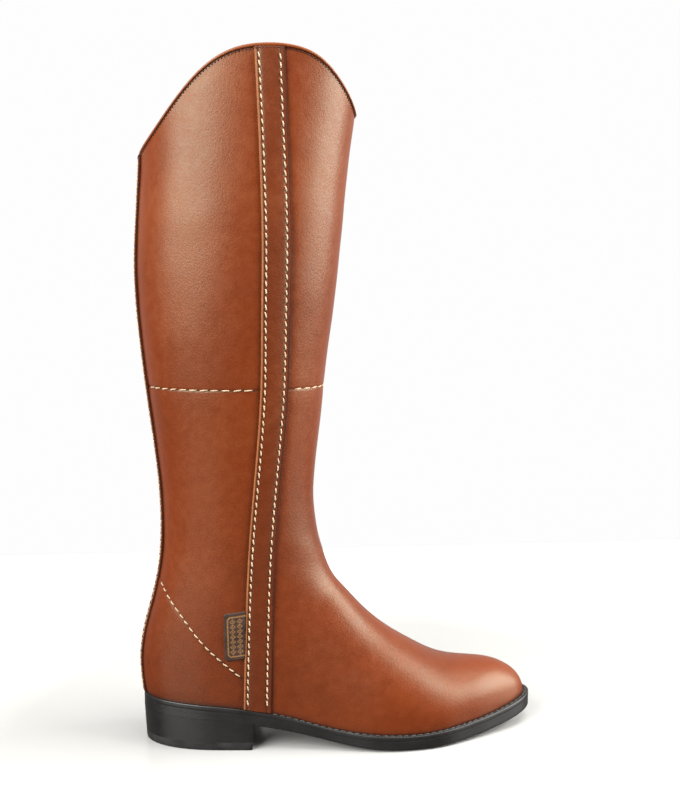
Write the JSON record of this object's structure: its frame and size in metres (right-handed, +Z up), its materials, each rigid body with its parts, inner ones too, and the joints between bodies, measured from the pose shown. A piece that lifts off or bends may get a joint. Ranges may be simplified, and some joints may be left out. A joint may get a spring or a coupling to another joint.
{
  "type": "riding boot",
  "caption": "Tall pull-on leather riding boot for the right foot with side straps, curved top line, welted leather sole, stacked heel and two inside pull loops.",
  "frame": {"origin": "centre of the boot's bounding box in X and Y, on the floor under the heel", "axes": "+X to the toe, +Y to the inner (medial) side of a right foot, +Z up the leg"},
  "size_m": [0.2842, 0.0954, 0.4789],
  "materials": {
    "upper_leather": "satin",
    "strap_leather": "satin",
    "tab_leather": "matte",
    "stiffener": "matte",
    "lining_leather": "matte",
    "facing_leather": "satin",
    "webbing": "matte",
    "welt_leather": "satin",
    "rib_canvas": "matte",
    "shank_steel": "satin",
    "cork": "matte",
    "insole_leather": "matte",
    "sole_leather": "satin",
    "heel_rubber": "matte",
    "pin_brass": "satin",
    "nail_steel": "satin",
    "heel_leather": "satin"
  },
  "bodies": {
    "boot": {"back_strap": "strap_leather", "cork_filler": "cork", "front_panel": "upper_leather", "heel_counter": "stiffener", "heel_lift_1": "heel_leather", "heel_lift_2": "heel_leather", "heel_lift_3": "heel_leather", "heel_lift_4": "heel_leather", "heel_lining": "lining_leather", "heel_nails": "nail_steel", "heel_rand": "welt_leather", "inner_loop_patch": "facing_leather", "inner_quarter": "upper_leather", "inner_side_strap": "strap_leather", "inner_top_facing": "facing_leather", "insole": "insole_leather", "insole_rib": "rib_canvas", "leg_lining_back": "lining_leather", "leg_lining_front": "lining_leather", "midsole": "sole_leather", "outer_loop_patch": "facing_leather", "outer_quarter": "upper_leather", "outer_side_strap": "strap_leather", "outer_top_facing": "facing_leather", "outsole": "sole_leather", "shank": "shank_steel", "side_tab": "tab_leather", "sock_liner": "lining_leather", "toe_puff": "stiffener", "top_binding": "strap_leather", "top_piece": "heel_rubber", "top_piece_pins": "pin_brass", "vamp_lining": "lining_leather", "welt": "welt_leather"},
    "outer_loop": {"outer_pull_loop": "webbing"},
    "inner_loop": {"inner_pull_loop": "webbing"}
  },
  "joints": [
    {"name": "outer_loop_swing", "type": "hinge", "parent": "boot", "child": "outer_loop", "pos_m": [-0.0473, -0.0394, 0.4394], "axis": [0.9997, 0, -0.0244], "range_deg": [0, 160]},
    {"name": "inner_loop_swing", "type": "hinge", "parent": "boot", "child": "inner_loop", "pos_m": [-0.0473, 0.0393, 0.4394], "axis": [-0.9997, 0, 0.0244], "range_deg": [0, 160]}
  ]
}
